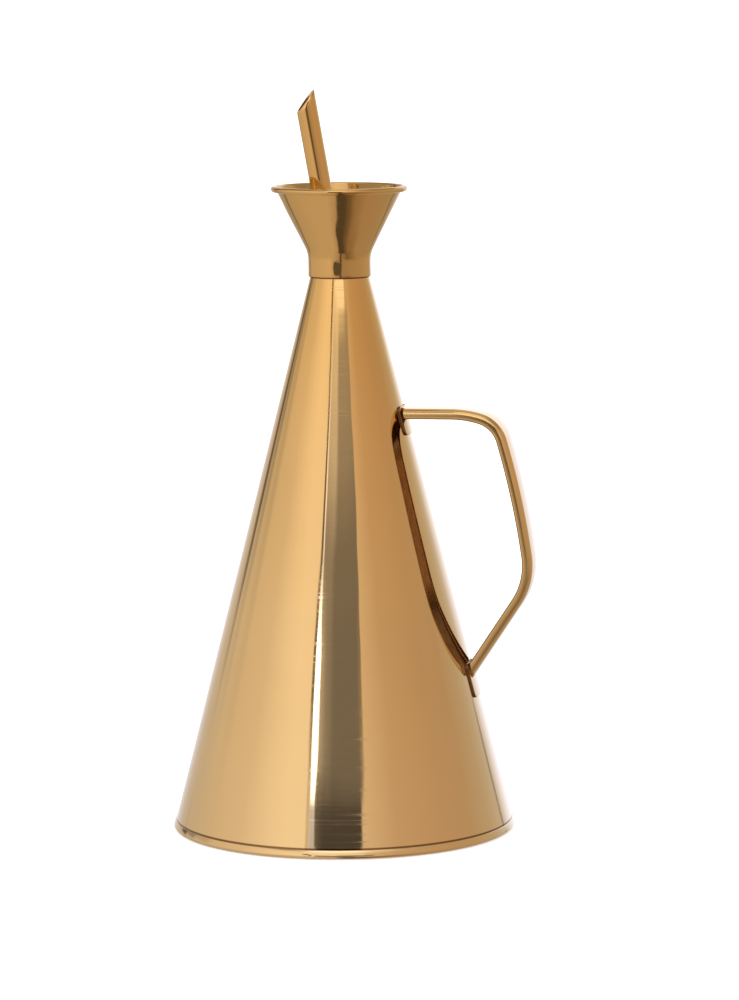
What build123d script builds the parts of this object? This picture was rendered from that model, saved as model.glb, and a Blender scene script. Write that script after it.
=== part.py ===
"""Conical olive oil can with a drip-catching funnel mouth, a lift-out pouring spout and a strap handle.

The can is sheet metal. A seamed cone stands in the rolled rim of a base pan and ends in a short collar,
which the skirt of the funnel covers. A cup-shaped stopper sits in the collar inside a rubber sleeve and
carries the leaning spout tube. Oil that runs down the tube drains through a hole in the cup.
The handle is a bent strap, hollowed on the side of the hand, between two saddle plates on the cone.

Frame: millimetres, +Z up, origin on the can's axis in the plane that it stands on, handle towards +X.
"""

import os
from math import atan, cos, radians, sin, tan

from build123d import *

# Sheet metal
SHEET = 0.6
PAN_SHEET = 0.5
PLATE_SHEET = 0.8
SEAM_GAP = 0.03  # between pieces that are welded or brazed together
RIM_GAP = 0.06  # between the turned-in edge of the pan's rim and the cone
SKIRT_GAP = 0.08
RUNNING_GAP = 0.06  # radial, between the rubber sleeve and the metal on each side of it

# Base pan
BASE_RADIUS = 66.0
RIM_HEIGHT = 3.7
FOOT_WIDTH = 2.4
RIM_BEND = 0.8
FLOOR_HEIGHT = 2.2
PANEL_RADIUS = 50.0
PANEL_RISE = 0.8

# Cone
CONE_FOOT_RADIUS = 65.05
CONE_FOOT_TOP = 3.4
FOOT_CLEARANCE = 0.1  # under the lower edge of the cone
NECK_HEIGHT = 213.1
COLLAR_TOP = 221.0
CONE_TOTAL_RISE = NECK_HEIGHT - CONE_FOOT_TOP

# Funnel
SKIRT_RADIUS = 12.0
FLARE_ANGLE = 26.4  # from the vertical
FLARE_BEND = 11.0
MOUTH_RADIUS = 26.0
MOUTH_HEIGHT = 247.6
CURL_RADIUS = 1.15
CURL_TURN = 255

# Stopper and spout
CUP_RADIUS = 9.6
CUP_FLOOR = 213.6
CUP_RIM = 222.4
CUP_LIP = (12.05, 223.45)
CUP_SHEET = 0.5
DRIP_HOLE_RADIUS = 1.5
DRIP_HOLE_OFFSET = 5.9
SPOUT_RADIUS = 4.0
SPOUT_BORE_RADIUS = 3.4
SPOUT_TILT = 9.8
SPOUT_HEADING = 198.0  # direction of the lean about +Z, from +X
SPOUT_AXIS_CROSSING = 207.3  # height where the tube's axis meets the can's axis
SPOUT_LOWER_END = 206.0
SPOUT_MOUTH_HEIGHT = 279.85
SPOUT_CUT_ANGLE = 46.0  # between the oblique mouth and the tube's axis

# Rubber sleeve
SLEEVE_BOTTOM = 214.6
SLEEVE_TOP = 221.5
SLEEVE_RIBS = 3
RIB_DEPTH = 0.35

# Handle strap: a channel that is open towards the cone, drawn along the edges of its flanges
STRAP_WIDTH = 17.0
STRAP_DEPTH = 4.3
STRAP_SHEET = 0.8
STRAP_BEND = 2.4  # outer radius between the web and a flange
WEB_RISE = 0.5
WEB_BEND = 60.0
TONGUE_WIDTH = 11.0
FLANGE_SETBACK = 1.4  # the flanges stop short of the plates, and a tongue of the web goes on
HANDLE_HEIGHT = 159.4
HANDLE_TOP_END = 43.7
SHOULDER_BEND = (37.4, 16.3)  # radius and turn in degrees
UPPER_BEND = (10.3, 57.4)
GRIP_BEND = (309.0, 8.3)
LOWER_BEND = (24.0, 41.5)
HANDLE_LOWER_RUN = 44.0  # longer than needed: the strap is trimmed to the lower plate

# Saddle plates
PLATE_WIDTH = 14.8
PLATE_CORNER = 2.0
UPPER_PLATE = (153.0, 163.9)  # lower and upper edge
LOWER_PLATE = (52.3, 65.4)

# Worked out from the above
COLLAR_RADIUS = SKIRT_RADIUS - SHEET - SKIRT_GAP
CONE_SLOPE = (CONE_FOOT_RADIUS - COLLAR_RADIUS) / CONE_TOTAL_RISE
CONE_ANGLE = atan(CONE_SLOPE)


def cone_radius(height):
    """Outer radius of the straight part of the cone."""
    return CONE_FOOT_RADIUS - CONE_SLOPE * (height - CONE_FOOT_TOP)


def save(piece, name):
    piece.part.label = name
    export_step(piece.part, f"parts/{name}.step")


os.makedirs("parts", exist_ok=True)

# Base pan: raised panel, foot ring and an outer rim that is rolled over the cone's foot
foot_inner = BASE_RADIUS - FOOT_WIDTH
with BuildPart() as base_pan:
    with BuildSketch(Plane.XZ):
        with BuildLine():
            FilletPolyline(
                (0, FLOOR_HEIGHT + PANEL_RISE),
                (PANEL_RADIUS, FLOOR_HEIGHT + PANEL_RISE),
                (PANEL_RADIUS + 2, FLOOR_HEIGHT),
                (foot_inner, FLOOR_HEIGHT),
                (foot_inner, 0),
                (BASE_RADIUS, 0),
                (BASE_RADIUS, RIM_HEIGHT),
                (CONE_FOOT_RADIUS + RIM_GAP, RIM_HEIGHT),
                radius=[2.0, 2.0, 0.5, RIM_BEND, RIM_BEND, RIM_BEND],
            )
            offset(amount=PAN_SHEET, side=Side.LEFT)
        make_face()
    revolve(axis=Axis.Z)
save(base_pan, "base_pan")

# Cone: straight foot in the pan's rim, tapered wall, collar under the funnel's skirt
with BuildPart() as cone_wall:
    with BuildSketch(Plane.XZ):
        with BuildLine():
            FilletPolyline(
                (CONE_FOOT_RADIUS, PAN_SHEET + FOOT_CLEARANCE),
                (CONE_FOOT_RADIUS, CONE_FOOT_TOP),
                (COLLAR_RADIUS, NECK_HEIGHT),
                (COLLAR_RADIUS, COLLAR_TOP),
                radius=[3.0, 1.5],
            )
            offset(amount=SHEET, side=Side.LEFT)
        make_face()
    revolve(axis=Axis.Z)
save(cone_wall, "cone_wall")

# Funnel: skirt, flare and an outward curl at the mouth, drawn along the middle of the sheet
curl_centre = (MOUTH_RADIUS - CURL_RADIUS, MOUTH_HEIGHT - CURL_RADIUS)
curl_line_radius = CURL_RADIUS - SHEET / 2
skirt_line_radius = SKIRT_RADIUS - SHEET / 2
flare = radians(FLARE_ANGLE)
flare_top = (
    curl_centre[0] - curl_line_radius * cos(flare),
    curl_centre[1] + curl_line_radius * sin(flare),
)
flare_start = flare_top[1] - (flare_top[0] - skirt_line_radius) / tan(flare)
with BuildPart() as funnel:
    with BuildSketch(Plane.XZ):
        with BuildLine():
            FilletPolyline(
                (skirt_line_radius, NECK_HEIGHT + SHEET / 2),
                (skirt_line_radius, flare_start),
                flare_top,
                radius=FLARE_BEND,
            )
            JernArc(flare_top, (sin(flare), cos(flare)), curl_line_radius, -CURL_TURN)
            offset(amount=SHEET / 2, side=Side.BOTH)
        make_face()
    revolve(axis=Axis.Z)
save(funnel, "funnel")

# Spout: its axis leans from the can's axis, and its mouth is cut obliquely
tilt = radians(SPOUT_TILT)
lean = Vector(cos(radians(SPOUT_HEADING)), sin(radians(SPOUT_HEADING)), 0)
spout_axis = lean * sin(tilt) + Vector(0, 0, cos(tilt))
across = lean * cos(tilt) - Vector(0, 0, sin(tilt))


def on_spout_axis(height):
    return Vector(0, 0, height) + lean * ((height - SPOUT_AXIS_CROSSING) * tan(tilt))


spout_end = on_spout_axis(SPOUT_LOWER_END)
mouth_centre = on_spout_axis(SPOUT_MOUTH_HEIGHT)
cut = radians(SPOUT_CUT_ANGLE)
mouth_plane = Plane(origin=mouth_centre, z_dir=spout_axis * sin(cut) + across * cos(cut))
spout_length = (mouth_centre - spout_end).length + 2 * SPOUT_RADIUS
with BuildPart() as spout_tube:
    with BuildSketch(Plane(origin=spout_end, z_dir=spout_axis)):
        Circle(SPOUT_RADIUS)
        Circle(SPOUT_BORE_RADIUS, mode=Mode.SUBTRACT)
    extrude(amount=spout_length)
    split(bisect_by=mouth_plane, keep=Keep.BOTTOM)
save(spout_tube, "spout_tube")

# Stopper cup: holds the tube, and drains back into the can
with BuildPart() as stopper_cup:
    with BuildSketch(Plane.XZ):
        with BuildLine():
            FilletPolyline(
                (0, CUP_FLOOR),
                (CUP_RADIUS, CUP_FLOOR),
                (CUP_RADIUS, CUP_RIM),
                CUP_LIP,
                radius=[1.2, 0.6],
            )
            offset(amount=CUP_SHEET, side=Side.LEFT)
        make_face()
    revolve(axis=Axis.Z)
    with BuildSketch(Plane(origin=spout_end, z_dir=spout_axis)):
        Circle(SPOUT_RADIUS + SEAM_GAP)
    extrude(amount=spout_length, mode=Mode.SUBTRACT)
    with Locations(lean * -DRIP_HOLE_OFFSET + Vector(0, 0, CUP_FLOOR + CUP_SHEET)):
        Hole(DRIP_HOLE_RADIUS, depth=2 * CUP_SHEET)
save(stopper_cup, "stopper_cup")

# Rubber sleeve: ribbed ring between the cup and the collar
sleeve_inner = CUP_RADIUS + RUNNING_GAP
sleeve_outer = COLLAR_RADIUS - SHEET - RUNNING_GAP
rib_pitch = (SLEEVE_TOP - SLEEVE_BOTTOM) / SLEEVE_RIBS
with BuildPart() as stopper_sleeve:
    with BuildSketch(Plane.XZ):
        with Locations((sleeve_inner, SLEEVE_BOTTOM)):
            Rectangle(
                sleeve_outer - RIB_DEPTH - sleeve_inner,
                SLEEVE_TOP - SLEEVE_BOTTOM,
                align=(Align.MIN, Align.MIN),
            )
        for rib in range(SLEEVE_RIBS):
            with Locations((sleeve_outer - RIB_DEPTH, SLEEVE_BOTTOM + (rib + 0.5) * rib_pitch)):
                Ellipse(RIB_DEPTH, rib_pitch * 0.3)
    revolve(axis=Axis.Z)
save(stopper_sleeve, "stopper_sleeve")


# Saddle plates: pieces of a cone that lie on the wall
def saddle_plate(edges):
    low, high = edges
    width_at_edge = PLATE_SHEET / cos(CONE_ANGLE)
    near = SEAM_GAP
    with BuildPart() as plate:
        with BuildSketch(Plane.XZ):
            with BuildLine():
                Polyline(
                    (cone_radius(low - 2) + near, low - 2),
                    (cone_radius(low - 2) + near + width_at_edge, low - 2),
                    (cone_radius(high + 2) + near + width_at_edge, high + 2),
                    (cone_radius(high + 2) + near, high + 2),
                    close=True,
                )
            make_face()
        revolve(axis=Axis.Z)
        with BuildSketch(Plane.YZ):
            with Locations((0, (low + high) / 2)):
                RectangleRounded(PLATE_WIDTH, high - low, PLATE_CORNER)
        extrude(amount=BASE_RADIUS, mode=Mode.INTERSECT)
    return plate


save(saddle_plate(UPPER_PLATE), "upper_handle_plate")
save(saddle_plate(LOWER_PLATE), "lower_handle_plate")

# Handle strap: straight top run, shoulder, knuckle bend, slightly bowed grip, lower bend and straight run
with BuildLine(Plane.XZ) as handle_line:
    top_start = (cone_radius(HANDLE_HEIGHT) - 4, HANDLE_HEIGHT)
    top_run = Line(top_start, (HANDLE_TOP_END, HANDLE_HEIGHT))
    shoulder = JernArc(top_run @ 1, top_run % 1, SHOULDER_BEND[0], -SHOULDER_BEND[1])
    upper_bend = JernArc(shoulder @ 1, shoulder % 1, UPPER_BEND[0], -UPPER_BEND[1])
    grip_bend = JernArc(upper_bend @ 1, upper_bend % 1, GRIP_BEND[0], -GRIP_BEND[1])
    lower_bend = JernArc(grip_bend @ 1, grip_bend % 1, LOWER_BEND[0], -LOWER_BEND[1])
    lower_end = lower_bend @ 1 + (lower_bend % 1) * HANDLE_LOWER_RUN
    Line(lower_bend @ 1, lower_end)

strap_plane = Plane(origin=handle_line.line @ 0, x_dir=(0, 1, 0), z_dir=handle_line.line % 0)
half_strap = STRAP_WIDTH / 2
plate_face = SEAM_GAP + PLATE_SHEET / cos(CONE_ANGLE) + SEAM_GAP


def cone_body(clearance):
    """Solid cone that stands this far outside the wall."""
    with BuildPart() as body:
        with BuildSketch(Plane.XZ):
            with BuildLine():
                Polyline(
                    (0, 0),
                    (cone_radius(0) + clearance, 0),
                    (cone_radius(NECK_HEIGHT) + clearance, NECK_HEIGHT),
                    (0, NECK_HEIGHT),
                    close=True,
                )
            make_face()
        revolve(axis=Axis.Z)
    return body.part


# The tongue is the middle of the web over the strap's full length
with BuildPart() as tongue:
    with BuildSketch(strap_plane):
        with Locations((0, STRAP_DEPTH)):
            Rectangle(TONGUE_WIDTH, 2 * (STRAP_SHEET + WEB_RISE))
    sweep(path=handle_line.line)

with BuildPart() as handle_strap:
    with BuildSketch(strap_plane):
        with BuildLine():
            FilletPolyline(
                (half_strap, 0),
                (half_strap, STRAP_DEPTH - WEB_RISE),
                (0, STRAP_DEPTH),
                (-half_strap, STRAP_DEPTH - WEB_RISE),
                (-half_strap, 0),
                radius=[STRAP_BEND, WEB_BEND, STRAP_BEND],
            )
            offset(amount=STRAP_SHEET, side=Side.LEFT)
        make_face()
    sweep(path=handle_line.line)
    add(cone_body(plate_face), mode=Mode.SUBTRACT)
    add(cone_body(plate_face + FLANGE_SETBACK) - tongue.part, mode=Mode.SUBTRACT)
save(handle_strap, "handle_strap")
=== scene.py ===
"""Looks of a polished brass oil can: detailed pieces on the fixed frame, a studio tent for the mirror
finish to reflect, a pale floor and the camera. Metres, +Z up, handle towards +X."""

import math

import bmesh
import bpy
from mathutils import Matrix, Vector, noise


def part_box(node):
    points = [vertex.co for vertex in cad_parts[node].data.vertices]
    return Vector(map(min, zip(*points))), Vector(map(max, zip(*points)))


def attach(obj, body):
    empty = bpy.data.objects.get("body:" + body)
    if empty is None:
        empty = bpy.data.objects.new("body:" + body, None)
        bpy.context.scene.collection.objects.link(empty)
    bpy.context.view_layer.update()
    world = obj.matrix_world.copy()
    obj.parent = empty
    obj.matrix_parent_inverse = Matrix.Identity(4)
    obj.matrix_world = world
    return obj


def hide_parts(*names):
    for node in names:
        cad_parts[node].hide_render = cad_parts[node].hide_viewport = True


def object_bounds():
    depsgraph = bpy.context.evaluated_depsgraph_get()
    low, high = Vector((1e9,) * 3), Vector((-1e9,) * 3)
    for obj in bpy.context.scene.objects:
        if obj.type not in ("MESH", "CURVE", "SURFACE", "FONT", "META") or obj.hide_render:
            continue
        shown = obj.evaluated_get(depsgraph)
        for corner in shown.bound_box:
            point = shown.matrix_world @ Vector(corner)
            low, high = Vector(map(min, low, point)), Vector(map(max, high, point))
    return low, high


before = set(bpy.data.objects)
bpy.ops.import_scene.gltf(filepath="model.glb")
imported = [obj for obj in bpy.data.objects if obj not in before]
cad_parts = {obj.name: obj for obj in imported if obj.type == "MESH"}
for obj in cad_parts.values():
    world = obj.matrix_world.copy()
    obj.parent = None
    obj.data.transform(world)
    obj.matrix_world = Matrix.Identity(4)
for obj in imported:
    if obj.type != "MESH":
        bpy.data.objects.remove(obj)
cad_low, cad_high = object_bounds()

MM = 0.001

# ---------------------------------------------------------------- sizes, from the frame and the sheet
pan_low, pan_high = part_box("base_pan")
cone_low, cone_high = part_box("cone_wall")
funnel_low, funnel_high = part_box("funnel")
upper_low, upper_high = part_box("upper_handle_plate")
lower_low, lower_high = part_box("lower_handle_plate")

SHEET = 0.6 * MM
PAN_SHEET = 0.5 * MM
PLATE_SHEET = 0.8 * MM
RIM_BEND = 0.8 * MM
BASE_RADIUS = 66.0 * MM
RIM_HEIGHT = pan_high.z
RIM_GAP = 0.06 * MM  # between the rim's turned-in edge and the cone
FOOT_WIDTH = 2.4 * MM
PANEL_RADIUS = 50 * MM
FLOOR_HEIGHT = 2.2 * MM
PANEL_RISE = 0.8 * MM
CONE_FOOT_RADIUS = 65.05 * MM
CONE_FOOT_TOP = 3.4 * MM
NECK_HEIGHT = funnel_low.z
SKIRT_RADIUS = 12 * MM
COLLAR_RADIUS = 11.32 * MM
MOUTH_RADIUS = 26.0 * MM
CURL_RADIUS = 1.15 * MM
FLARE_ANGLE = math.radians(26.4)
FLARE_BEND = 11 * MM
CURL_TURN = math.radians(255)

STRAP_WIDTH = 17 * MM
STRAP_DEPTH = 4.3 * MM
STRAP_SHEET = 0.8 * MM
STRAP_BEND = 2.4 * MM
WEB_RISE = 0.5 * MM
WEB_BEND = 60 * MM
TONGUE_WIDTH = 11 * MM
FLANGE_SETBACK = 1.4 * MM
HANDLE_HEIGHT = 159.4 * MM
HANDLE_TOP_END = 43.7 * MM
HANDLE_BENDS = ((37.4 * MM, 16.3), (10.3 * MM, 57.4), (309 * MM, 8.3), (24 * MM, 41.5))
SEAM_GAP = 0.03 * MM
EDGE_STEPS = 8  # facets round the strap's cut edges

PLATE_CORNER = 2 * MM
PLATE_BEVEL = 0.18 * MM

SPOUT_TILT = math.radians(9.8)
SPOUT_HEADING = math.radians(198)
SPOUT_CROSSING = 207.3 * MM
SPOUT_LOWER_END = 206 * MM
SPOUT_MOUTH = 279.85 * MM
SPOUT_CUT = math.radians(46)
SPOUT_RADIUS = 4 * MM
SPOUT_BORE = 3.4 * MM
SPOUT_BEVEL = 0.12 * MM

CONE_SLOPE = (CONE_FOOT_RADIUS - COLLAR_RADIUS) / (NECK_HEIGHT - CONE_FOOT_TOP)
CONE_TILT = math.atan(CONE_SLOPE)


def cone_radius(height):
    return CONE_FOOT_RADIUS - CONE_SLOPE * (height - CONE_FOOT_TOP)


# ---------------------------------------------------------------- outlines in the (radius, height) plane
def rounded_path(points, radii, steps=12):
    """Points of a polyline with each inner corner rounded to its radius."""
    corners = [Vector(p) for p in points]
    path = [corners[0]]
    for before, corner, after, radius in zip(corners, corners[1:], corners[2:], radii):
        to_before = (before - corner).normalized()
        to_after = (after - corner).normalized()
        half_turn = (math.pi - to_before.angle(to_after)) / 2
        centre = corner + (to_before + to_after).normalized() * radius / math.cos(half_turn)
        start = corner + to_before * radius * math.tan(half_turn)
        sense = 1 if to_before.cross(to_after) < 0 else -1
        for step in range(steps + 1):
            turned = Matrix.Rotation(sense * 2 * half_turn * step / steps, 2) @ (start - centre)
            path.append(centre + turned)
    return path + [corners[-1]]


def arc_from(start, centre, turn, steps):
    """Points that follow start round centre by turn radians."""
    arm = start - centre
    return [centre + Matrix.Rotation(turn * step / steps, 2) @ arm for step in range(1, steps + 1)]


def in_small_steps(path, longest):
    """The path with points added so that no step is longer than this."""
    fine = [path[0]]
    for start, end in zip(path, path[1:]):
        count = max(1, math.ceil((end - start).length / longest))
        fine += [start.lerp(end, (i + 1) / count) for i in range(count)]
    return fine


def path_normals(path):
    """Unit vectors to the left of the path at each of its points."""
    normals = []
    for i, point in enumerate(path):
        ahead = path[min(i + 1, len(path) - 1)] - path[max(i - 1, 0)]
        normals.append(Vector((-ahead.y, ahead.x)).normalized())
    return normals


def sheet_outline(path, thickness, edge_steps=6, open_start=True):
    """Closed outline of a sheet drawn along its middle line, with rounded edges."""
    half = thickness / 2
    normals = path_normals(path)
    left = [p + n * half for p, n in zip(path, normals)]
    right = [p - n * half for p, n in zip(path, normals)]
    end_round = arc_from(left[-1], path[-1], -math.pi, edge_steps)[:-1]
    start_round = arc_from(right[0], path[0], -math.pi, edge_steps)[:-1] if open_start else []
    return left + end_round + right[::-1] + start_round


# ---------------------------------------------------------------- meshes
def placed_object(name, data):
    """A new object in the scene's collection."""
    placed = bpy.data.objects.new(name, data)
    bpy.context.scene.collection.objects.link(placed)
    return placed


def finished_object(mesh_maker, name, material, body, replaced):
    """Turns a bmesh into a smooth object that rides on a body and stands for a node."""
    bmesh.ops.remove_doubles(mesh_maker, verts=mesh_maker.verts, dist=1e-7)
    bmesh.ops.recalc_face_normals(mesh_maker, faces=mesh_maker.faces)
    for face in mesh_maker.faces:
        face.smooth = True
    mesh = bpy.data.meshes.new(name)
    mesh_maker.to_mesh(mesh)
    mesh_maker.free()
    piece = placed_object(name, mesh)
    mesh.materials.append(material)
    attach(piece, body)
    if replaced:
        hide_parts(replaced)
    return piece


def grid_mesh(rows, close_rows=True, close_columns=True):
    """A bmesh of quads through rows of points."""
    maker = bmesh.new()
    grid = [[maker.verts.new(point) for point in row] for row in rows]
    row_count = len(grid)
    column_count = len(grid[0])
    for i in range(row_count if close_rows else row_count - 1):
        for j in range(column_count if close_columns else column_count - 1):
            here, beyond = grid[i], grid[(i + 1) % row_count]
            k = (j + 1) % column_count
            maker.faces.new((here[j], here[k], beyond[k], beyond[j]))
    return maker


def lathe(outline, segments, shift=lambda angle, height, radius: 0.0):
    """A closed outline turned about the can's axis. shift moves a point out or in by a little."""
    rows = []
    for point in outline:
        row = []
        for column in range(segments):
            angle = 2 * math.pi * column / segments
            radius = point.x + shift(angle, point.y, point.x) if point.x > 1e-6 else 0.0
            row.append((radius * math.cos(angle), radius * math.sin(angle), point.y))
        rows.append(row)
    return grid_mesh(rows)


def smooth_step(value, start, end):
    share = min(1.0, max(0.0, (value - start) / (end - start)))
    return share * share * (3 - 2 * share)


def waver(angle, height, around, along, seed):
    """Smooth random value, about -1 to 1, for the slight unevenness of formed sheet."""
    place = Vector((math.cos(angle) * around, math.sin(angle) * around, height * along + seed))
    return noise.noise(place) * 1.6


# ---------------------------------------------------------------- materials
def node_material(name):
    material = bpy.data.materials.new(name)
    material.use_nodes = True
    tree = material.node_tree
    tree.nodes.clear()
    output = tree.nodes.new("ShaderNodeOutputMaterial")
    surface = tree.nodes.new("ShaderNodeBsdfPrincipled")
    tree.links.new(surface.outputs["BSDF"], output.inputs["Surface"])
    return material, tree, surface


def scaled_noise(tree, scale, detail):
    """Noise in the frame's own metres, stretched by scale along X, Y and Z."""
    place = tree.nodes.new("ShaderNodeTexCoord")
    mapping = tree.nodes.new("ShaderNodeMapping")
    mapping.inputs["Scale"].default_value = scale
    texture = tree.nodes.new("ShaderNodeTexNoise")
    texture.inputs["Scale"].default_value = 1.0
    texture.inputs["Detail"].default_value = detail
    tree.links.new(place.outputs["Object"], mapping.inputs["Vector"])
    tree.links.new(mapping.outputs["Vector"], texture.inputs["Vector"])
    return texture.outputs["Fac"]


def ramp(tree, value, stops):
    node = tree.nodes.new("ShaderNodeValToRGB")
    tree.links.new(value, node.inputs["Fac"])
    points = node.color_ramp.elements
    points[0].position, points[0].color = stops[0][0], (*stops[0][1], 1)
    points[1].position, points[1].color = stops[-1][0], (*stops[-1][1], 1)
    for position, colour in stops[1:-1]:
        points.new(position).color = (*colour, 1)
    return node.outputs["Color"]


def multiply(tree, first, second):
    node = tree.nodes.new("ShaderNodeMix")
    node.data_type = "RGBA"
    node.blend_type = "MULTIPLY"
    node.inputs["Factor"].default_value = 1.0
    tree.links.new(first, node.inputs["A"])
    tree.links.new(second, node.inputs["B"])
    return node.outputs["Result"]


def mixed_colour(tree, mask, first, colour):
    node = tree.nodes.new("ShaderNodeMix")
    node.data_type = "RGBA"
    tree.links.new(mask, node.inputs["Factor"])
    tree.links.new(first, node.inputs["A"])
    node.inputs["B"].default_value = (*colour, 1)
    return node.outputs["Result"]


def in_range(tree, value, low, high, start=0.0, end=1.0):
    node = tree.nodes.new("ShaderNodeMapRange")
    node.inputs["From Min"].default_value = start
    node.inputs["From Max"].default_value = end
    node.inputs["To Min"].default_value = low
    node.inputs["To Max"].default_value = high
    tree.links.new(value, node.inputs["Value"])
    return node.outputs["Result"]


def bumped(tree, surface, height, distance):
    node = tree.nodes.new("ShaderNodeBump")
    node.inputs["Strength"].default_value = 1.0
    node.inputs["Distance"].default_value = distance
    tree.links.new(height, node.inputs["Height"])
    tree.links.new(node.outputs["Normal"], surface.inputs["Normal"])


BRASS = (0.90, 0.69, 0.41)
# dark colour for the seams: tarnish, plus painted shade in the crease where the parts meet
TARNISH_AND_CREASE_SHADE = (0.26, 0.15, 0.075)
# the lacquer is a little yellower towards the mouth: height in metres and tint
LACQUER = [
    (0.0, (1.0, 1.04, 1.12)), (0.09, (1.0, 1.01, 1.0)), (0.15, (1.0, 0.96, 0.86)), (0.20, (1.0, 0.91, 0.71)),
]
LACQUER_SPAN = 0.25  # the height that the lacquer's colour ramp covers


def height_of(tree):
    place = tree.nodes.new("ShaderNodeTexCoord")
    split = tree.nodes.new("ShaderNodeSeparateXYZ")
    tree.links.new(place.outputs["Object"], split.inputs["Vector"])
    return split.outputs["Z"]


def calculated(tree, operation, first, second):
    node = tree.nodes.new("ShaderNodeMath")
    node.operation = operation
    for socket, value in zip(node.inputs, (first, second)):
        if isinstance(value, (int, float)):
            socket.default_value = value
        else:
            tree.links.new(value, socket)
    return node.outputs["Value"]


def crease_shade_mask(tree, height, reach):
    """1 at a height and 0 beyond reach, for the dark line of tarnish and painted shade in a seam."""
    away = calculated(tree, "ABSOLUTE", calculated(tree, "SUBTRACT", height_of(tree), height), 0.0)
    return in_range(tree, away, 1.0, 0.0, 0.6 * reach, reach)


def brass(
    name, lines=(30, 30, 1500), shade=1.0, polish=(0.025, 0.06), brushing=0.10, wear=(0.45, 0.62), seams=(),
    edge=(1, 1, 1),
):
    """Mirror-polished brass: uneven polish, patches of faint turning lines, lacquer, and seams darkened by
    tarnish and painted shade.
    """
    material, tree, surface = node_material(name)
    base = [c * shade for c in BRASS]
    patches = scaled_noise(tree, (22, 22, 22), 3)
    fine_lines = scaled_noise(tree, lines, 3)
    ripple = scaled_noise(tree, (70, 70, 110), 2)
    darker = [c * 0.975 for c in base]
    lighter = [min(c * 1.02, 1) for c in base]
    tint = ramp(tree, patches, [(0.3, darker), (0.5, base), (0.75, lighter)])
    share_up = calculated(tree, "MULTIPLY", height_of(tree), 1 / LACQUER_SPAN)
    lacquer = ramp(tree, share_up, [(height / LACQUER_SPAN, tone) for height, tone in LACQUER])
    colour = multiply(tree, tint, lacquer)
    # a dark line in each seam: tarnish plus painted shade
    for height, reach in seams:
        colour = mixed_colour(tree, crease_shade_mask(tree, height, reach), colour, TARNISH_AND_CREASE_SHADE)
    tree.links.new(colour, surface.inputs["Base Color"])
    surface.inputs["Metallic"].default_value = 1.0
    surface.inputs["Specular Tint"].default_value = (*edge, 1)
    worn = in_range(tree, patches, 0.0, 1.0, *wear)
    brushed = calculated(tree, "MULTIPLY", in_range(tree, fine_lines, 0.0, brushing, 0.5, 0.72), worn)
    smooth = in_range(tree, patches, *polish)
    tree.links.new(calculated(tree, "ADD", smooth, brushed), surface.inputs["Roughness"])
    relief = calculated(tree, "ADD", calculated(tree, "MULTIPLY", ripple, 6.0), fine_lines)
    bumped(tree, surface, relief, 0.0006 * MM)
    return material


def darkened_inside(name, dark, light, start, end):
    """The inside of a spout or a funnel: dark, blotchy and dull below start, turning to plain brass from
    start up to end.
    """
    material, tree, surface = node_material(name)
    blotches = scaled_noise(tree, (260, 260, 120), 3)
    tone = ramp(tree, blotches, [(0.35, dark), (0.65, light)])
    plain_share = in_range(tree, height_of(tree), 0.0, 1.0, start, end)
    tree.links.new(mixed_colour(tree, plain_share, tone, BRASS), surface.inputs["Base Color"])
    surface.inputs["Metallic"].default_value = 0.9
    dull = in_range(tree, height_of(tree), 1.0, 0.2, start, end)
    roughness = calculated(tree, "MULTIPLY", in_range(tree, blotches, 0.25, 0.4), dull)
    tree.links.new(roughness, surface.inputs["Roughness"])
    bumped(tree, surface, blotches, 0.01 * MM)
    return material


def dull_brass(name, tone, rough):
    """Brass that was never polished: on cut edges, and inside the strap, where its dark tone is also painted
    shade.
    """
    material, tree, surface = node_material(name)
    blotches = scaled_noise(tree, (180, 180, 180), 4)
    grain = scaled_noise(tree, (1500, 1500, 1500), 2)
    darker = [c * 0.72 for c in tone]
    tree.links.new(ramp(tree, blotches, [(0.35, darker), (0.6, tone)]), surface.inputs["Base Color"])
    surface.inputs["Metallic"].default_value = 1.0
    surface.inputs["Specular Tint"].default_value = (0.6, 0.5, 0.4, 1)
    tree.links.new(in_range(tree, blotches, rough, rough + 0.12), surface.inputs["Roughness"])
    bumped(tree, surface, grain, 0.004 * MM)
    return material


def rubber():
    material, tree, surface = node_material("sleeve_rubber")
    grain = scaled_noise(tree, (900, 900, 900), 4)
    tone = ramp(tree, grain, [(0.3, (0.018, 0.017, 0.016)), (0.7, (0.035, 0.033, 0.031))])
    tree.links.new(tone, surface.inputs["Base Color"])
    tree.links.new(in_range(tree, grain, 0.55, 0.75), surface.inputs["Roughness"])
    bumped(tree, surface, grain, 0.03 * MM)
    return material


# the dark lines at the rim and neck seams are partly painted shade
cone_brass = brass(
    "cone_brass", brushing=0.11, wear=(0.40, 0.60), seams=[(RIM_HEIGHT, 0.75 * MM), (NECK_HEIGHT, 0.45 * MM)]
)
funnel_brass = brass("funnel_brass", shade=0.97, seams=[(NECK_HEIGHT, 0.3 * MM)], edge=(0.75, 0.7, 0.65))
base_brass = brass("base_brass")
handle_brass = brass("handle_brass", lines=(260, 900, 260), polish=(0.10, 0.15), brushing=0.06)
plate_brass = brass("plate_brass", lines=(500, 500, 160), polish=(0.08, 0.14))
spout_brass = brass(
    "spout_brass", lines=(900, 900, 40), polish=(0.04, 0.08), brushing=0.06, edge=(0.8, 0.75, 0.7)
)
cup_brass = brass("cup_brass")
sleeve_rubber = rubber()
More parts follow.
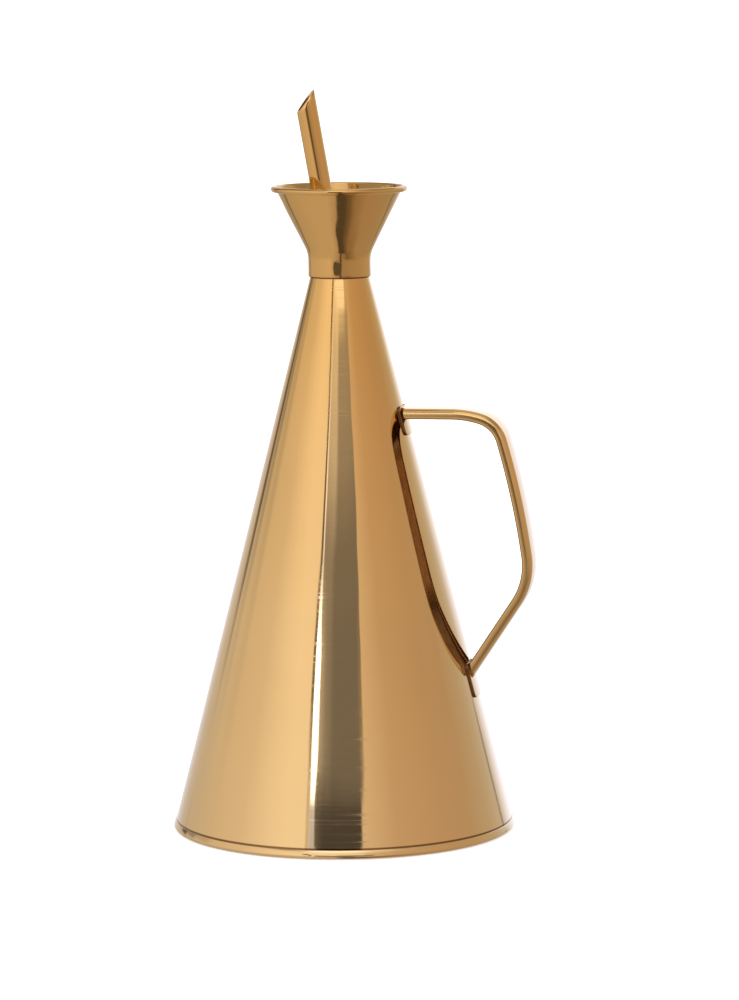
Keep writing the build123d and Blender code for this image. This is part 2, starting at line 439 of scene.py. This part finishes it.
# the spout's bore and the funnel's bowl: darker and duller below a height
bore_darkening = darkened_inside(
    "spout_bore", (0.10, 0.05, 0.045), (0.20, 0.11, 0.085), SPOUT_MOUTH + 0.8 * MM, SPOUT_MOUTH + 2.2 * MM
)
bowl_darkening = darkened_inside(
    "funnel_bowl", (0.22, 0.12, 0.07), (0.34, 0.20, 0.11), funnel_high.z - 7 * MM, funnel_high.z - 3.5 * MM
)
# the strap's inside, facing the cone: unpolished, with a dark tone that is painted shade
strap_inside_shaded = dull_brass("strap_inside_shaded", (0.27, 0.155, 0.09), 0.16)
cut_edge = dull_brass("cut_edge", (0.30, 0.19, 0.11), 0.22)


# ---------------------------------------------------------------- base pan
def make_base_pan():
    half = PAN_SHEET / 2
    path = rounded_path(
        [
            (0, FLOOR_HEIGHT + PANEL_RISE + half),
            (PANEL_RADIUS, FLOOR_HEIGHT + PANEL_RISE + half),
            (PANEL_RADIUS + 2 * MM, FLOOR_HEIGHT + half),
            (BASE_RADIUS - FOOT_WIDTH + half, FLOOR_HEIGHT + half),
            (BASE_RADIUS - FOOT_WIDTH + half, half),
            (BASE_RADIUS - 0.30 * MM - half, half),
            (BASE_RADIUS - half, 0.40 * RIM_HEIGHT),
            (CONE_FOOT_RADIUS + 0.22 * MM, RIM_HEIGHT - half),
            (CONE_FOOT_RADIUS + RIM_GAP, RIM_HEIGHT - half),
        ],
        [2 * MM, 2 * MM, 0.5 * MM, RIM_BEND - half, 1.6 * MM, 0.06 * MM],
    )
    fine = in_small_steps(path, 4 * MM)

    def uneven(angle, height, radius):
        outer = smooth_step(radius, BASE_RADIUS - 2.2 * MM, BASE_RADIUS - 1.2 * MM)
        return -0.03 * MM * outer * abs(waver(angle, height, 6, 200, 3.1))

    pan = lathe(sheet_outline(fine, PAN_SHEET, open_start=False), 384, uneven)
    return finished_object(pan, "base_pan_skin", base_brass, "can", "base_pan")


# ---------------------------------------------------------------- cone
def make_cone():
    half = SHEET / 2
    path = rounded_path(
        [
            (CONE_FOOT_RADIUS - half, cone_low.z + half),
            (CONE_FOOT_RADIUS - half, CONE_FOOT_TOP),
            (COLLAR_RADIUS - half, NECK_HEIGHT),
            (COLLAR_RADIUS - half, cone_high.z - half),
        ],
        [3 * MM, 1.5 * MM],
    )
    fine = in_small_steps(path, 1.8 * MM)

    def uneven(angle, height, radius):
        settled = min(1.0, height / (20 * MM)) * min(1.0, max(0.0, NECK_HEIGHT - height) / (12 * MM))
        broad = waver(angle, height, 1.1, 14, 8.3)
        narrow = waver(angle, height, 4.5, 60, 1.7)
        return settled * (0.09 * MM * broad + 0.010 * MM * narrow)

    wall = lathe(sheet_outline(fine, SHEET), 384, uneven)
    return finished_object(wall, "cone_skin", cone_brass, "can", "cone_wall")


# ---------------------------------------------------------------- funnel
def make_funnel():
    half = SHEET / 2
    line_radius = CURL_RADIUS - half
    centre = Vector((MOUTH_RADIUS - CURL_RADIUS, funnel_high.z - CURL_RADIUS))
    flare_top = centre + Vector((-math.cos(FLARE_ANGLE), math.sin(FLARE_ANGLE))) * line_radius
    skirt = SKIRT_RADIUS - half
    flare_start = flare_top.y - (flare_top.x - skirt) / math.tan(FLARE_ANGLE)
    path = rounded_path(
        [(skirt, NECK_HEIGHT + half), (skirt, flare_start), flare_top],
        [FLARE_BEND],
    )
    path += arc_from(flare_top, centre, -CURL_TURN, 28)
    fine = in_small_steps(path, 1.2 * MM)

    def uneven(angle, height, radius):
        up = min(1.0, max(0.0, height - NECK_HEIGHT) / (3 * MM))
        below_rim = min(1.0, max(0.0, funnel_high.z - 2 * MM - height) / (4 * MM))
        broad = waver(angle, height, 2.2, 110, 5.2)
        narrow = waver(angle, height, 5.5, 260, 2.6)
        return up * below_rim * (0.10 * MM * broad + 0.03 * MM * narrow)

    mouth = lathe(sheet_outline(fine, SHEET), 320, uneven)
    # the darkened bowl: the sheet's inner side, up to just under the curled lip
    for face in mouth.faces:
        middle = face.calc_center_median()
        for lower, upper in zip(fine, fine[1:]):
            if lower.y <= middle.z < upper.y and middle.z < funnel_high.z - 3 * MM:
                sheet_radius = lower.x + (upper.x - lower.x) * (middle.z - lower.y) / (upper.y - lower.y)
                face.material_index = 1 if middle.xy.length < sheet_radius else 0
                break
    funnel_piece = finished_object(mouth, "funnel_skin", funnel_brass, "can", "funnel")
    funnel_piece.data.materials.append(bowl_darkening)
    return funnel_piece


# ---------------------------------------------------------------- handle strap
def handle_stations():
    """Points along the edges of the strap's flanges with their directions, in the XZ plane."""
    place = Vector((HANDLE_TOP_END, HANDLE_HEIGHT))
    heading = Vector((1, 0))
    stations = [(place.copy(), heading.copy())]
    for radius, degrees in HANDLE_BENDS:
        centre = place + Vector((heading.y, -heading.x)) * radius
        steps = max(16, int(degrees))
        for step in range(1, steps + 1):
            rotation = Matrix.Rotation(-math.radians(degrees) * step / steps, 2)
            stations.append((centre + rotation @ (place - centre), rotation @ heading))
        place, heading = stations[-1][0].copy(), stations[-1][1].copy()
    return stations


def way_to_cone(start, direction, clearance):
    """Distance from a point along a direction to a cone that stands this far outside the wall."""
    near, far = 0.0, 80 * MM
    for _ in range(40):
        middle = (near + far) / 2
        point = start + direction * middle
        if math.hypot(point.x, point.y) > cone_radius(point.z) + clearance:
            near = middle
        else:
            far = middle
    return near


def make_handle():
    half = STRAP_WIDTH / 2 - STRAP_SHEET / 2
    top = STRAP_DEPTH - STRAP_SHEET / 2 - 0.015 * MM  # a hair low, to stay inside the CAD box
    bend = STRAP_BEND - STRAP_SHEET / 2
    section = rounded_path(
        [
            (half, STRAP_SHEET / 2), (half, top - WEB_RISE), (0, top), (-half, top - WEB_RISE),
            (-half, STRAP_SHEET / 2),
        ],
        [bend, WEB_BEND, bend],
        16,
    )
    # a cut on each side of the tongue, where the flanges stop
    tongue_cuts = [TONGUE_WIDTH / 2 + 0.02 * MM, TONGUE_WIDTH / 2 - 0.02 * MM]
    tongue_cuts += [-cut for cut in reversed(tongue_cuts)]
    fine = in_small_steps(section, 0.8 * MM)
    for cut in tongue_cuts:
        for i in range(len(fine) - 1):
            if fine[i].x > cut >= fine[i + 1].x and fine[i].y > STRAP_DEPTH / 2:
                share = (fine[i].x - cut) / (fine[i].x - fine[i + 1].x)
                fine.insert(i + 1, fine[i].lerp(fine[i + 1], share))
                break
    outline = sheet_outline(fine, STRAP_SHEET, edge_steps=EDGE_STEPS)
    plate_face = SEAM_GAP * 2 + PLATE_SHEET / math.cos(CONE_TILT)

    def clearance(point):
        on_tongue = abs(point.x) < TONGUE_WIDTH / 2 and point.y > STRAP_DEPTH / 2
        return plate_face if on_tongue else plate_face + FLANGE_SETBACK

    def in_space(place, heading, point):
        outward = Vector((-heading.y, heading.x)) * point.y
        return Vector((place.x + outward.x, point.x, place.y + outward.y))

    stations = handle_stations()
    rows = []
    for end, sign in ((0, -1), (-1, 1)):
        place, heading = stations[end]
        direction = Vector((heading.x, 0, heading.y)) * sign
        run = []
        for share in (1.0, 0.985, 0.9, 0.75, 0.6, 0.45, 0.3, 0.15):
            row = []
            for point in outline:
                start = in_space(place, heading, point)
                row.append(start + direction * way_to_cone(start, direction, clearance(point)) * share)
            run.append(row)
        rows.append(run)
    middle = [[in_space(place, heading, point) for point in outline] for place, heading in stations]
    rows = rows[0] + middle + rows[1][::-1]
    strap = grid_mesh(rows, close_rows=False)
    strap.verts.ensure_lookup_table()
    strap.faces.ensure_lookup_table()
    # the outline runs along the inside, round one cut edge, back along the outside and round the other
    count, length, edge = len(outline), len(fine), EDGE_STEPS - 1
    for i, face in enumerate(strap.faces):
        step = i % count
        inside = step < length - 1
        on_edge = length - 1 <= step < length + edge or step >= 2 * length + edge - 1
        face.material_index = 1 if inside else 2 if on_edge else 0
    # caps over both ends
    for first in (0, (len(rows) - 1) * count):
        ring = strap.verts[first : first + count]
        left, right = ring[:length], ring[length + edge : 2 * length + edge][::-1]
        for i in range(length - 1):
            strap.faces.new((left[i], left[i + 1], right[i + 1], right[i]))
        strap.faces.new([left[-1], *ring[length : length + edge], right[-1]])
        strap.faces.new([right[0], *ring[2 * length + edge :], left[0]])
    strap_piece = finished_object(strap, "handle_skin", handle_brass, "can", "handle_strap")
    strap_piece.data.materials.append(strap_inside_shaded)
    strap_piece.data.materials.append(cut_edge)
    return strap_piece


# ---------------------------------------------------------------- saddle plates
def make_plate(name, node, low, high):
    """A thin plate with rounded corners and softened edges, bent to the cone."""
    width = high.y - low.y
    height = high.z - low.z
    middle = (low.z + high.z) / 2
    bevel = PLATE_BEVEL
    corner = PLATE_CORNER
    columns, turns, straight = 40, 8, 10

    def half_width_at(offset):
        beyond = abs(offset) - (height / 2 - corner)
        if beyond <= 0:
            return width / 2
        return width / 2 - corner + math.sqrt(max(0.0, corner**2 - beyond**2))

    def on_plate(across, offset, level):
        z = middle + offset
        radius = cone_radius(z) + SEAM_GAP + level / math.cos(CONE_TILT)
        return (math.sqrt(max(0.0, radius**2 - across**2)), across, z)

    offsets = []
    for i in range(turns + 1):
        offsets.append(-height / 2 + corner * (1 - math.cos(math.pi / 2 * i / turns)))
    for i in range(1, straight):
        offsets.append(-height / 2 + corner + (height - 2 * corner) * i / straight)
    for i in range(turns + 1):
        offsets.append(height / 2 - corner * (1 - math.sin(math.pi / 2 * i / turns)))
    rows = []
    for i, offset in enumerate(offsets):
        half = max(half_width_at(offset), 0.02 * MM)
        inset = min(bevel, half * 0.5)
        lift = bevel * min(1.0, (height / 2 - abs(offset)) / bevel)
        crest = PLATE_SHEET - (bevel - lift)
        outer = []
        for j in range(columns + 1):
            across = -half + inset + 2 * (half - inset) * j / columns
            outer.append(on_plate(across, offset, crest))
        edge_right = on_plate(half, offset, max(crest - bevel, 0.0))
        edge_left = on_plate(-half, offset, max(crest - bevel, 0.0))
        back_right = on_plate(half, offset, 0.0)
        back_left = on_plate(-half, offset, 0.0)
        rows.append([back_left, edge_left] + outer + [edge_right, back_right])
    plate = grid_mesh(rows, close_rows=False)
    plate.verts.ensure_lookup_table()
    plate.faces.ensure_lookup_table()
    per_row = len(rows[0])
    for i, face in enumerate(plate.faces):
        face.material_index = 0 if 2 <= i % per_row < per_row - 3 else 1
    for first in (0, (len(rows) - 1) * per_row):
        end = plate.faces.new([plate.verts[first + k] for k in range(per_row)])
        end.material_index = 1
    piece = finished_object(plate, name, plate_brass, "can", node)
    piece.data.materials.append(cut_edge)
    return piece


# ---------------------------------------------------------------- spout
def make_spout():
    lean = Vector((math.cos(SPOUT_HEADING), math.sin(SPOUT_HEADING), 0))
    axis = lean * math.sin(SPOUT_TILT) + Vector((0, 0, math.cos(SPOUT_TILT)))
    toward = lean * math.cos(SPOUT_TILT) - Vector((0, 0, math.sin(SPOUT_TILT)))
    side = axis.cross(toward)
    drift = (SPOUT_LOWER_END - SPOUT_CROSSING) * math.tan(SPOUT_TILT)
    start = Vector((0, 0, SPOUT_LOWER_END)) + lean * drift
    length = (SPOUT_MOUTH - SPOUT_LOWER_END) / math.cos(SPOUT_TILT)
    edge = SPOUT_BEVEL
    walls, columns = 40, 96
    rows = []
    for column in range(columns):
        angle = 2 * math.pi * column / columns
        direction = toward * math.cos(angle) + side * math.sin(angle)

        def mouth(radius):
            return length - radius * math.cos(angle) / math.tan(SPOUT_CUT)

        def at(radius, along):
            return start + axis * along + direction * radius

        row = [at(SPOUT_RADIUS, (mouth(SPOUT_RADIUS) - edge) * i / walls) for i in range(walls + 1)]
        row.append(at(SPOUT_RADIUS - edge, mouth(SPOUT_RADIUS - edge)))
        row.append(at(SPOUT_BORE + edge, mouth(SPOUT_BORE + edge)))
        row += [at(SPOUT_BORE, (mouth(SPOUT_BORE) - edge) * (walls - i) / walls) for i in range(walls + 1)]
        rows.append(row)
    tube = grid_mesh(rows)
    for face in tube.faces:
        middle = face.calc_center_median() - start
        if (middle - axis * middle.dot(axis)).length < SPOUT_BORE + 0.05 * MM:
            face.material_index = 1
    piece = finished_object(tube, "spout_skin", spout_brass, "spout", "spout_tube")
    piece.data.materials.append(bore_darkening)
    return piece


make_base_pan()
make_cone()
make_funnel()
make_handle()
make_plate("upper_plate_skin", "upper_handle_plate", upper_low, upper_high)
make_plate("lower_plate_skin", "lower_handle_plate", lower_low, lower_high)
make_spout()

for node, material in (("stopper_cup", cup_brass), ("stopper_sleeve", sleeve_rubber)):
    cad_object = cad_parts[node]
    cad_object.data.materials.clear()
    cad_object.data.materials.append(material)


# ---------------------------------------------------------------- camera
CAMERA_AZIMUTH = 10.3  # degrees towards the handle from straight in front
CAMERA_DISTANCE = 1.640
CAMERA_HEIGHT = 0.3396
CAMERA_DOWN = 7.39
CAMERA_RIGHT = 0.373
CAMERA_ROLL = 0.45
CAMERA_LENS = 155.05


def make_camera():
    camera = placed_object("camera", bpy.data.cameras.new("camera"))
    azimuth = math.radians(CAMERA_AZIMUTH)
    back = Vector((math.sin(azimuth), -math.cos(azimuth), 0))
    camera.location = back * CAMERA_DISTANCE + Vector((0, 0, CAMERA_HEIGHT))
    turn = Matrix.Rotation(azimuth - math.radians(CAMERA_RIGHT), 4, "Z")
    tip = Matrix.Rotation(math.radians(90 - CAMERA_DOWN), 4, "X")
    roll = Matrix.Rotation(-math.radians(CAMERA_ROLL), 4, "Z")
    camera.matrix_world = Matrix.Translation(camera.location) @ turn @ tip @ roll
    camera.data.lens = CAMERA_LENS
    camera.data.sensor_width = 36
    camera.data.clip_start = 0.05
    camera.data.clip_end = 100
    bpy.context.scene.camera = camera


# ---------------------------------------------------------------- studio tent, seen only in reflections
# Five rings of cloth, from the floor up. Each stop is (degrees round from the camera, brightness, warmth),
# where warmth goes from -1, daylight, past 0, the cloth, to 1, amber.
FLOOR_RING = [
    (-180, 0.80, -1.0), (-149, 0.48, -0.4), (-118, 0.56, 0.1), (-75, 0.60, 0.1), (-31, 0.60, 0.1),
    (-8, 0.48, 0.3), (30, 0.21, 0.7), (45, 0.33, 0.6), (74, 0.44, 0.5), (118, 0.45, 0.3), (149, 0.50, -0.4),
    (180, 0.80, -1.0),
]
LOW_RING = [
    (-180, 1.20, -1.0), (-168, 0.90, -0.8), (-157, 0.72, -0.6), (-147, 0.63, -0.35), (-137, 0.63, -0.15),
    (-117, 0.64, 0.0), (-87, 0.66, 0.1), (-34, 0.74, 0.2), (0, 0.40, 0.5), (17, 0.42, 0.5), (90, 0.50, 0.45),
    (118, 0.54, 0.15), (129, 0.58, -0.1), (137, 0.60, -0.25), (147, 0.84, -0.95), (157, 1.05, -1.0),
    (180, 1.30, -1.0),
]
HIGH_RING = [
    (-180, 1.20, -1.0), (-168, 0.82, -0.7), (-157, 0.60, -0.45), (-147, 0.60, -0.4), (-137, 0.62, -0.2),
    (-117, 0.72, 0.0), (-98, 0.75, 0.1), (-76, 0.80, 0.1), (-55, 0.97, 0.05), (-42, 1.04, 0.05),
    (-26, 1.02, 0.0), (15, 0.76, 0.3), (37, 0.62, 0.55), (56, 0.59, 0.6), (76, 0.55, 0.6), (99, 0.53, 0.5),
    (118, 0.55, 0.1), (129, 0.57, -0.25), (137, 0.68, -0.75), (147, 1.02, -1.0), (157, 1.12, -1.0),
    (180, 1.30, -1.0),
]
TOP_RING = [
    (-180, 0.90, -0.6), (-110, 0.50, 0.0), (-67, 0.76, 0.0), (-33, 0.80, 0.0), (-22, 1.45, -0.2),
    (8, 1.45, -0.2), (20, 0.95, 0.0), (64, 0.50, 0.1), (110, 0.50, 0.1), (150, 0.80, -0.5), (180, 0.90, -0.6),
]
CEILING_RING = [
    (-180, 0.60, -0.3), (-130, 0.42, 0.0), (-60, 0.38, 0.2), (-45, 0.36, 0.2), (-38, 0.22, 0.2),
    (-27, 0.24, 0.1), (-18, 0.85, 0.0), (8, 0.95, 0.0), (22, 0.80, 0.0), (45, 0.40, 0.0), (85, 0.32, 0.0),
    (130, 0.40, 0.0), (180, 0.60, -0.3),
]
ZENITH = (0.45, 0.0)  # brightness and warmth, as for all of the named lights below
HEM = (0.15, 0.1)
ABOVE_GAP = (1.25, -0.3)
STAND_BACK = (0.40, 0.3)
STAND_WAIST = (0.12, 0.1)
STAND_STEM = (0.11, 0.3)
STAND_FOOT = (0.10, 0.4)
CLOTH = (0.967, 0.797, 0.585)  # the tent's own warm white
DAYLIGHT = (0.98, 1.00, 1.18)  # the open back of the tent


def between(value, low, high, soft):
    """1 inside the range, 0 outside, with soft edges."""
    rise = smooth_step(value, low - soft / 2, low + soft / 2)
    return rise * (1 - smooth_step(value, high - soft / 2, high + soft / 2))


def mixed(first, second, share):
    return tuple(a + (b - a) * share for a, b in zip(first, second))


def ring_light(ring, azimuth):
    for (a, brightness_a, warmth_a), (b, brightness_b, warmth_b) in zip(ring, ring[1:]):
        if a <= azimuth <= b:
            return mixed((brightness_a, warmth_a), (brightness_b, warmth_b), (azimuth - a) / (b - a))
    return ring[-1][1:]


def cloth_light(azimuth, elevation):
    """The rings of cloth, blended from one to the next by height."""
    light = ring_light(FLOOR_RING, azimuth)
    light = mixed(light, ring_light(LOW_RING, azimuth), smooth_step(elevation, -22, -6))
    light = mixed(light, ring_light(HIGH_RING, azimuth), smooth_step(elevation, -3, 8))
    light = mixed(light, ring_light(TOP_RING, azimuth), smooth_step(elevation, 26, 36))
    light = mixed(light, ZENITH, smooth_step(elevation, 66, 80))
    # the ceiling over the camera is darker on both sides of a bright middle
    ceiling_foot = 42 - 9 * smooth_step(abs(azimuth), 25, 45)
    return mixed(light, ring_light(CEILING_RING, azimuth), between(elevation, ceiling_foot, 62, 6))


def with_gap(light, azimuth, elevation):
    """The gap for the camera, the bare white wall left of it and the dark hem of the first cloth."""
    left_edge = -20.2 - 1.3 * between(elevation, 18.0, 20.4, 1.6)
    left_edge -= 1.2 * (1 - smooth_step(elevation, 16.4, 17.6))
    left_edge += 3.0 * (1 - smooth_step(elevation, 13.5, 15.5))
    right_edge = 15.4 + (elevation - 17) * 0.95 - 2.0 * (1 - smooth_step(elevation, 16.6, 17.4))

    # it is darkest low down, and its left part is lighter
    depth = 0.075 + 0.13 * smooth_step(elevation, 16.3, 17.5) + 0.02 * smooth_step(elevation, 18.5, 20)
    depth += 0.16 * smooth_step(elevation, 20.6, 22.4) + 0.06 * smooth_step(elevation, 22.8, 23.6)
    split = -10 + 4.5 * smooth_step(elevation, 20, 22)
    shine = 0.42 + 0.5 * smooth_step(elevation, 20.3, 21.3)
    left_part = 1 - smooth_step(azimuth, split - 3.5, split + 2.5)
    depth *= 1 + shine * left_part * smooth_step(elevation, 15.5, 17)
    near_left = 1 - smooth_step(azimuth, left_edge, left_edge + 7.5)
    near_left *= 1 - smooth_step(elevation, 18.6, 19.8)
    near_right = smooth_step(azimuth, right_edge - 3.4, right_edge - 2.2)
    near_right *= between(elevation, 16.9, 18.9, 0.6)
    depth *= 1 + 0.8 * near_left + 0.4 * near_right
    gap = between(azimuth, left_edge, right_edge, 1.0) * between(elevation, 7, 24.0, 0.4)
    light = mixed(light, (depth, -0.2 + 0.5 * near_right), gap)

    low_down = 1 - smooth_step(elevation, 16.9, 17.5)
    wall = 4.5 - 3.3 * smooth_step(elevation, 17.9, 19.2) - 0.3 * smooth_step(elevation, 21.0, 22.5)
    wall -= 3.9 * (1 - smooth_step(elevation, 16.25, 16.8))
    wall_edge = -25.2 + 3.4 * smooth_step(elevation, 17.8, 20.6) + 0.7 * low_down
    wedge = between(azimuth, wall_edge, left_edge - 0.2, 0.5) * between(elevation, 7, 23, 1)
    light = mixed(light, (wall, -0.8), wedge)
    hem = -27.0 + 3.6 * smooth_step(elevation, 17.6, 20.6) - 3.6 * smooth_step(elevation, 22.0, 23.3)
    hem += 1.0 * low_down
    hem_width = 1.2 + 1.1 * smooth_step(elevation, 22.3, 23.3)
    hem_mask = between(azimuth, hem - hem_width, hem + hem_width, 0.7) * between(elevation, 7, 25.5, 1.5)
    light = mixed(light, HEM, hem_mask * (0.35 + 0.65 * smooth_step(elevation, 16.6, 17.6)))
    return mixed(light, ABOVE_GAP, between(azimuth, -20, 14, 4) * between(elevation, 24.1, 26, 0.5))


def with_stand(light, azimuth, elevation):
    """The camera's stand, seen lower down."""
    waist_edge = -19 + 3 * smooth_step(-elevation, 5.5, 9.5)
    waist = between(azimuth, waist_edge, 4, 4)
    light = mixed(light, STAND_BACK, waist * between(elevation, -15, -7.5, 3))
    light = mixed(light, STAND_WAIST, waist * between(elevation, -7.5, 7, 3))
    light = mixed(light, STAND_STEM, between(azimuth, -1, 6, 3) * between(elevation, -40, -7.5, 3))
    foot = smooth_step(azimuth, -12, -4) * (1 - smooth_step(azimuth, 12, 38))
    return mixed(light, STAND_FOOT, foot * (1 - smooth_step(elevation, -42, -38)))


def seam_shade(azimuth, elevation):
    """How much the tent's seams darken it, behind on the left and on the right."""
    seam = 0.75 * between(azimuth, -141, -133, 3) * smooth_step(elevation, -0.2, 3.2)
    seam += 0.48 * between(azimuth, -133, -122, 6) * smooth_step(elevation, 2, 8)
    seam += 0.22 * between(azimuth, -122, -105, 10) * smooth_step(elevation, 4, 11)
    seam += 0.28 * between(azimuth, -151, -141, 3) * smooth_step(elevation, 1, 4)
    seam += 0.50 * between(azimuth, -139, -133, 3) * between(elevation, -32, -3, 3)
    seam += 0.40 * between(azimuth, 136, 139.5, 1.0) * between(elevation, -30, -0.3, 1)
    return min(seam, 0.8)


def tent_light(azimuth, elevation):
    """Brightness and warmth of the tent in one direction, in degrees from the camera's side."""
    light = cloth_light(azimuth, elevation)
    light = with_gap(light, azimuth, elevation)
    brightness, warmth = with_stand(light, azimuth, elevation)
    return brightness * (1 - seam_shade(azimuth, elevation)), warmth


def tent_colour(azimuth, elevation):
    brightness, warmth = tent_light(azimuth, elevation)
    amber = max(warmth, 0.0)
    cloth = (CLOTH[0], CLOTH[1] * (1 - 0.30 * amber), CLOTH[2] * (1 - 0.55 * amber))
    colour = mixed(cloth, DAYLIGHT, max(-warmth, 0.0))
    return (*(brightness * part for part in colour), 1.0)


def make_tent():
    radius, columns, layers = 12.0, 720, 360
    middle = Vector((0, 0, (cad_low.z + cad_high.z) / 2))
    directions, colours = [], []
    for layer in range(layers + 1):
        elevation = -90 + 180 * layer / layers
        for column in range(columns):
            azimuth = -180 + 360 * column / columns
            around = math.radians(azimuth + CAMERA_AZIMUTH - 90)
            flat = math.cos(math.radians(elevation))
            up = math.sin(math.radians(elevation))
            direction = Vector((flat * math.cos(around), flat * math.sin(around), up))
            directions.append(middle + direction * radius)
            colours += tent_colour(azimuth, elevation)
    faces = []
    for layer in range(layers):
        for column in range(columns):
            beside = (column + 1) % columns
            low, high = layer * columns, (layer + 1) * columns
            faces.append((low + column, low + beside, high + beside, high + column))
    mesh = bpy.data.meshes.new("studio_tent")
    mesh.from_pydata(directions, [], faces)
    mesh.attributes.new("light", "FLOAT_COLOR", "POINT").data.foreach_set("color", colours)
    tent = placed_object("studio_tent", mesh)
    material = bpy.data.materials.new("studio_tent")
    material.use_nodes = True
    material.cycles.emission_sampling = "NONE"
    tree = material.node_tree
    tree.nodes.clear()
    output = tree.nodes.new("ShaderNodeOutputMaterial")
    glow = tree.nodes.new("ShaderNodeEmission")
    cloth = tree.nodes.new("ShaderNodeAttribute")
    cloth.attribute_name = "light"
    tree.links.new(cloth.outputs["Color"], glow.inputs["Color"])
    tree.links.new(glow.outputs["Emission"], output.inputs["Surface"])
    mesh.materials.append(material)
    tent.visible_camera = False
    tent.visible_diffuse = False
    tent.visible_transmission = False
    tent.visible_volume_scatter = False
    tent.visible_shadow = False


# ---------------------------------------------------------------- floor and room light
def make_floor():
    size = 20.0
    mesh = bpy.data.meshes.new("floor")
    corners = [(-size, -size, 0), (size, -size, 0), (size, size, 0), (-size, size, 0)]
    mesh.from_pydata(corners, [], [(0, 1, 2, 3)])
    floor = placed_object("floor", mesh)
    material, tree, surface = node_material("pale_floor")
    grain = scaled_noise(tree, (3, 3, 3), 3)
    tone = ramp(tree, grain, [(0.3, (0.90, 0.90, 0.90)), (0.7, (0.93, 0.93, 0.93))])
    tree.links.new(tone, surface.inputs["Base Color"])
    surface.inputs["Roughness"].default_value = 0.8
    surface.inputs["Specular IOR Level"].default_value = 0.0
    surface.inputs["Emission Color"].default_value = (1, 1, 1, 1)
    surface.inputs["Emission Strength"].default_value = 0.45
    material.cycles.emission_sampling = "NONE"
    mesh.materials.append(material)
    floor.visible_glossy = False


def make_room():
    world = bpy.data.worlds.new("room")
    world.use_nodes = True
    background = world.node_tree.nodes["Background"]
    background.inputs["Color"].default_value = (1, 1, 1, 1)
    background.inputs["Strength"].default_value = 1.15
    bpy.context.scene.world = world
    bpy.context.scene.view_settings.view_transform = "Standard"


make_camera()
make_tent()
make_floor()
make_room()
